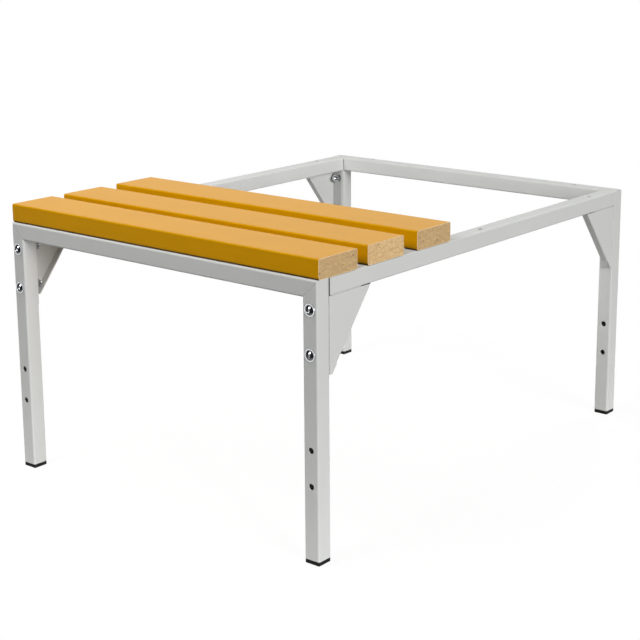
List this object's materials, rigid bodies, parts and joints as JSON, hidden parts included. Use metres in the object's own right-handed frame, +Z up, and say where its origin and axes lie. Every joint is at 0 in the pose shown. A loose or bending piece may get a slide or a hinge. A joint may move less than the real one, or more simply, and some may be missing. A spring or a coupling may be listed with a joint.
{
  "type": "locker bench",
  "caption": "Locker stand with a built-in seat: square-tube frame on four legs, folded corner gussets, and wooden seat slats along the front.",
  "frame": {"origin": "on the floor, midway between the four feet", "axes": "+X along the seat to its right end, +Y from the seat to the back of the frame, +Z up"},
  "size_m": [0.6, 0.808, 0.418],
  "materials": {
    "powder_coat": "satin light grey powder coat",
    "coated_wood": "satin yellow-brown coating over the long faces, sawn ends",
    "zinc": "bright zinc plate",
    "black_plastic": "matt"
  },
  "bodies": {
    "root": {"front_left_leg": "powder_coat", "front_right_leg": "powder_coat", "rear_left_leg": "powder_coat", "rear_right_leg": "powder_coat", "front_rail": "powder_coat", "rear_rail": "powder_coat", "left_side_rail": "powder_coat", "right_side_rail": "powder_coat", "front_left_gusset": "powder_coat", "front_right_gusset": "powder_coat", "rear_left_gusset": "powder_coat", "rear_right_gusset": "powder_coat", "front_slat": "coated_wood", "middle_slat": "coated_wood", "rear_slat": "coated_wood", "front_left_foot_plug": "black_plastic", "front_right_foot_plug": "black_plastic", "rear_left_foot_plug": "black_plastic", "rear_right_foot_plug": "black_plastic", "frame_bolts": "zinc", "frame_washers": "zinc", "frame_nuts": "zinc", "slat_screws": "zinc"}
  },
  "joints": []
}
